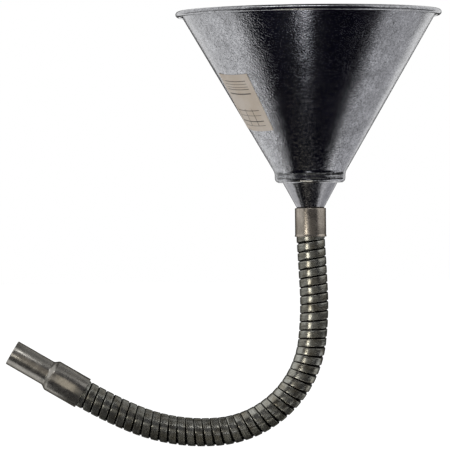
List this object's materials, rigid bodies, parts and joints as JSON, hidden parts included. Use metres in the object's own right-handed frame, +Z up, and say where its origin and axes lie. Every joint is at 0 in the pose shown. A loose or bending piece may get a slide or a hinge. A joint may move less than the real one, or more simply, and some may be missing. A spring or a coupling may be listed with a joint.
{
  "type": "fuel funnel with flexible metal hose",
  "caption": "Galvanised steel fuel funnel with a wire-stiffened rim, a lift-out strainer and a strip-wound flexible metal hose that ends in a stepped nozzle.",
  "frame": {"origin": "centre of the mouth, at the height of the rim's top", "axes": "+Z up along the bowl's axis, -X towards the side that the nozzle points to, the hose bends in the XZ plane"},
  "size_m": [0.3307, 0.2, 0.3271],
  "materials": {
    "galvanised": "hot-dip galvanised, fine spangle",
    "rim_wire": "drawn wire",
    "hose_strip": "rolled strip, plated",
    "plated_steel": "drawn tube, dull nickel plate",
    "brass": "satin",
    "paper": "uncoated paper"
  },
  "bodies": {
    "funnel": {"bowl": "galvanised", "rim_wire": "rim_wire", "paper_label": "paper", "spout_cone": "galvanised", "ferrule": "plated_steel", "hose_upper_end": "hose_strip"},
    "strainer": {"strainer_frame": "brass", "strainer_gauze": "brass"},
    "turn_01": {"hose_turn_01": "hose_strip"},
    "turn_02": {"hose_turn_02": "hose_strip"},
    "turn_03": {"hose_turn_03": "hose_strip"},
    "turn_04": {"hose_turn_04": "hose_strip"},
    "turn_05": {"hose_turn_05": "hose_strip"},
    "turn_06": {"hose_turn_06": "hose_strip"},
    "turn_07": {"hose_turn_07": "hose_strip"},
    "turn_08": {"hose_turn_08": "hose_strip"},
    "turn_09": {"hose_turn_09": "hose_strip"},
    "turn_10": {"hose_turn_10": "hose_strip"},
    "turn_11": {"hose_turn_11": "hose_strip"},
    "turn_12": {"hose_turn_12": "hose_strip"},
    "turn_13": {"hose_turn_13": "hose_strip"},
    "turn_14": {"hose_turn_14": "hose_strip"},
    "turn_15": {"hose_turn_15": "hose_strip"},
    "turn_16": {"hose_turn_16": "hose_strip"},
    "turn_17": {"hose_turn_17": "hose_strip"},
    "turn_18": {"hose_turn_18": "hose_strip"},
    "turn_19": {"hose_turn_19": "hose_strip"},
    "turn_20": {"hose_turn_20": "hose_strip"},
    "turn_21": {"hose_turn_21": "hose_strip"},
    "turn_22": {"hose_turn_22": "hose_strip"},
    "turn_23": {"hose_turn_23": "hose_strip"},
    "turn_24": {"hose_turn_24": "hose_strip"},
    "turn_25": {"hose_turn_25": "hose_strip"},
    "turn_26": {"hose_turn_26": "hose_strip"},
    "turn_27": {"hose_turn_27": "hose_strip"},
    "turn_28": {"hose_turn_28": "hose_strip"},
    "turn_29": {"hose_turn_29": "hose_strip"},
    "turn_30": {"hose_turn_30": "hose_strip"},
    "turn_31": {"hose_turn_31": "hose_strip"},
    "turn_32": {"hose_turn_32": "hose_strip"},
    "turn_33": {"hose_turn_33": "hose_strip"},
    "turn_34": {"hose_turn_34": "hose_strip"},
    "turn_35": {"hose_turn_35": "hose_strip"},
    "turn_36": {"hose_turn_36": "hose_strip"},
    "turn_37": {"hose_turn_37": "hose_strip"},
    "turn_38": {"hose_turn_38": "hose_strip"},
    "turn_39": {"hose_turn_39": "hose_strip"},
    "turn_40": {"hose_turn_40": "hose_strip"},
    "turn_41": {"hose_turn_41": "hose_strip"},
    "turn_42": {"hose_turn_42": "hose_strip"},
    "turn_43": {"hose_turn_43": "hose_strip"},
    "nozzle_end": {"hose_lower_end": "hose_strip", "nozzle": "plated_steel"}
  },
  "joints": [
    {"name": "strainer_lift", "type": "slide", "parent": "funnel", "child": "strainer", "axis": [0, 0, 1], "range_m": [0, 0.13]},
    {"name": "turn_01_tilt", "type": "hinge", "parent": "funnel", "child": "turn_01", "pos_m": [0, 0, -0.1716], "axis": [0, 1, 0], "range_deg": [-2.1, 8.3]},
    {"name": "turn_02_tilt", "type": "hinge", "parent": "turn_01", "child": "turn_02", "pos_m": [0.00036, 0, -0.17824], "axis": [0, 1, 0], "range_deg": [-5.3, 5.1]},
    {"name": "turn_03_tilt", "type": "hinge", "parent": "turn_02", "child": "turn_03", "pos_m": [0.00071, 0, -0.18488], "axis": [0, 1, 0], "range_deg": [-5.3, 5.1]},
    {"name": "turn_04_tilt", "type": "hinge", "parent": "turn_03", "child": "turn_04", "pos_m": [0.00104, 0, -0.19152], "axis": [0, 1, 0], "range_deg": [-5.3, 5.1]},
    {"name": "turn_05_tilt", "type": "hinge", "parent": "turn_04", "child": "turn_05", "pos_m": [0.00137, 0, -0.19817], "axis": [0, 1, 0], "range_deg": [-5.3, 5.1]},
    {"name": "turn_06_tilt", "type": "hinge", "parent": "turn_05", "child": "turn_06", "pos_m": [0.00168, 0, -0.20481], "axis": [0, 1, 0], "range_deg": [-5.3, 5.1]},
    {"name": "turn_07_tilt", "type": "hinge", "parent": "turn_06", "child": "turn_07", "pos_m": [0.00198, 0, -0.21145], "axis": [0, 1, 0], "range_deg": [-6.8, 3.6]},
    {"name": "turn_08_tilt", "type": "hinge", "parent": "turn_07", "child": "turn_08", "pos_m": [0.0021, 0, -0.2181], "axis": [0, 1, 0], "range_deg": [-6.8, 3.6]},
    {"name": "turn_09_tilt", "type": "hinge", "parent": "turn_08", "child": "turn_09", "pos_m": [0.00203, 0, -0.22475], "axis": [0, 1, 0], "range_deg": [-6.8, 3.6]},
    {"name": "turn_10_tilt", "type": "hinge", "parent": "turn_09", "child": "turn_10", "pos_m": [0.00178, 0, -0.23139], "axis": [0, 1, 0], "range_deg": [-6.8, 3.6]},
    {"name": "turn_11_tilt", "type": "hinge", "parent": "turn_10", "child": "turn_11", "pos_m": [0.00133, 0, -0.23803], "axis": [0, 1, 0], "range_deg": [-6.8, 3.6]},
    {"name": "turn_12_tilt", "type": "hinge", "parent": "turn_11", "child": "turn_12", "pos_m": [0.00071, 0, -0.24465], "axis": [0, 1, 0], "range_deg": [-6.8, 3.6]},
    {"name": "turn_13_tilt", "type": "hinge", "parent": "turn_12", "child": "turn_13", "pos_m": [-0.0001, 0, -0.25125], "axis": [0, 1, 0], "range_deg": [-10.1, 0.3]},
    {"name": "turn_14_tilt", "type": "hinge", "parent": "turn_13", "child": "turn_14", "pos_m": [-0.00147, 0, -0.25776], "axis": [0, 1, 0], "range_deg": [-10.1, 0.3]},
    {"name": "turn_15_tilt", "type": "hinge", "parent": "turn_14", "child": "turn_15", "pos_m": [-0.0034, 0, -0.26412], "axis": [0, 1, 0], "range_deg": [-10.1, 0.3]},
    {"name": "turn_16_tilt", "type": "hinge", "parent": "turn_15", "child": "turn_16", "pos_m": [-0.00585, 0, -0.2703], "axis": [0, 1, 0], "range_deg": [-10.1, 0.3]},
    {"name": "turn_17_tilt", "type": "hinge", "parent": "turn_16", "child": "turn_17", "pos_m": [-0.00883, 0, -0.27625], "axis": [0, 1, 0], "range_deg": [-10.1, 0.3]},
    {"name": "turn_18_tilt", "type": "hinge", "parent": "turn_17", "child": "turn_18", "pos_m": [-0.01231, 0, -0.28192], "axis": [0, 1, 0], "range_deg": [-10.1, 0.3]},
    {"name": "turn_19_tilt", "type": "hinge", "parent": "turn_18", "child": "turn_19", "pos_m": [-0.01625, 0, -0.28727], "axis": [0, 1, 0], "range_deg": [-10.1, 0.3]},
    {"name": "turn_20_tilt", "type": "hinge", "parent": "turn_19", "child": "turn_20", "pos_m": [-0.02064, 0, -0.29227], "axis": [0, 1, 0], "range_deg": [-10.1, 0.3]},
    {"name": "turn_21_tilt", "type": "hinge", "parent": "turn_20", "child": "turn_21", "pos_m": [-0.02544, 0, -0.29687], "axis": [0, 1, 0], "range_deg": [-10.1, 0.3]},
    {"name": "turn_22_tilt", "type": "hinge", "parent": "turn_21", "child": "turn_22", "pos_m": [-0.03062, 0, -0.30105], "axis": [0, 1, 0], "range_deg": [-10.1, 0.3]},
    {"name": "turn_23_tilt", "type": "hinge", "parent": "turn_22", "child": "turn_23", "pos_m": [-0.03613, 0, -0.30477], "axis": [0, 1, 0], "range_deg": [-10.1, 0.3]},
    {"name": "turn_24_tilt", "type": "hinge", "parent": "turn_23", "child": "turn_24", "pos_m": [-0.04194, 0, -0.308], "axis": [0, 1, 0], "range_deg": [-10.1, 0.3]},
    {"name": "turn_25_tilt", "type": "hinge", "parent": "turn_24", "child": "turn_25", "pos_m": [-0.04801, 0, -0.31073], "axis": [0, 1, 0], "range_deg": [-10.1, 0.3]},
    {"name": "turn_26_tilt", "type": "hinge", "parent": "turn_25", "child": "turn_26", "pos_m": [-0.05428, 0, -0.31292], "axis": [0, 1, 0], "range_deg": [-10.1, 0.3]},
    {"name": "turn_27_tilt", "type": "hinge", "parent": "turn_26", "child": "turn_27", "pos_m": [-0.06072, 0, -0.31458], "axis": [0, 1, 0], "range_deg": [-10.1, 0.3]},
    {"name": "turn_28_tilt", "type": "hinge", "parent": "turn_27", "child": "turn_28", "pos_m": [-0.06728, 0, -0.31567], "axis": [0, 1, 0], "range_deg": [-10.1, 0.3]},
    {"name": "turn_29_tilt", "type": "hinge", "parent": "turn_28", "child": "turn_29", "pos_m": [-0.07391, 0, -0.31621], "axis": [0, 1, 0], "range_deg": [-8, 2.4]},
    {"name": "turn_30_tilt", "type": "hinge", "parent": "turn_29", "child": "turn_30", "pos_m": [-0.08056, 0, -0.31642], "axis": [0, 1, 0], "range_deg": [-8, 2.4]},
    {"name": "turn_31_tilt", "type": "hinge", "parent": "turn_30", "child": "turn_31", "pos_m": [-0.08721, 0, -0.3163], "axis": [0, 1, 0], "range_deg": [-8, 2.4]},
    {"name": "turn_32_tilt", "type": "hinge", "parent": "turn_31", "child": "turn_32", "pos_m": [-0.09384, 0, -0.31586], "axis": [0, 1, 0], "range_deg": [-8, 2.4]},
    {"name": "turn_33_tilt", "type": "hinge", "parent": "turn_32", "child": "turn_33", "pos_m": [-0.10045, 0, -0.3151], "axis": [0, 1, 0], "range_deg": [-8, 2.4]},
    {"name": "turn_34_tilt", "type": "hinge", "parent": "turn_33", "child": "turn_34", "pos_m": [-0.10701, 0, -0.31401], "axis": [0, 1, 0], "range_deg": [-8, 2.4]},
    {"name": "turn_35_tilt", "type": "hinge", "parent": "turn_34", "child": "turn_35", "pos_m": [-0.11351, 0, -0.3126], "axis": [0, 1, 0], "range_deg": [-8, 2.4]},
    {"name": "turn_36_tilt", "type": "hinge", "parent": "turn_35", "child": "turn_36", "pos_m": [-0.11993, 0, -0.31088], "axis": [0, 1, 0], "range_deg": [-8, 2.4]},
    {"name": "turn_37_tilt", "type": "hinge", "parent": "turn_36", "child": "turn_37", "pos_m": [-0.12626, 0, -0.30885], "axis": [0, 1, 0], "range_deg": [-8, 2.4]},
    {"name": "turn_38_tilt", "type": "hinge", "parent": "turn_37", "child": "turn_38", "pos_m": [-0.13249, 0, -0.30651], "axis": [0, 1, 0], "range_deg": [-8, 2.4]},
    {"name": "turn_39_tilt", "type": "hinge", "parent": "turn_38", "child": "turn_39", "pos_m": [-0.13859, 0, -0.30387], "axis": [0, 1, 0], "range_deg": [-6.4, 4]},
    {"name": "turn_40_tilt", "type": "hinge", "parent": "turn_39", "child": "turn_40", "pos_m": [-0.14464, 0, -0.3011], "axis": [0, 1, 0], "range_deg": [-6.4, 4]},
    {"name": "turn_41_tilt", "type": "hinge", "parent": "turn_40", "child": "turn_41", "pos_m": [-0.15062, 0, -0.29821], "axis": [0, 1, 0], "range_deg": [-6.4, 4]},
    {"name": "turn_42_tilt", "type": "hinge", "parent": "turn_41", "child": "turn_42", "pos_m": [-0.15655, 0, -0.29519], "axis": [0, 1, 0], "range_deg": [-6.4, 4]},
    {"name": "turn_43_tilt", "type": "hinge", "parent": "turn_42", "child": "turn_43", "pos_m": [-0.16241, 0, -0.29205], "axis": [0, 1, 0], "range_deg": [-6.4, 4]},
    {"name": "nozzle_tilt", "type": "hinge", "parent": "turn_43", "child": "nozzle_end", "pos_m": [-0.1682, 0, -0.28878], "axis": [0, 1, 0], "range_deg": [-6.4, 4]}
  ]
}
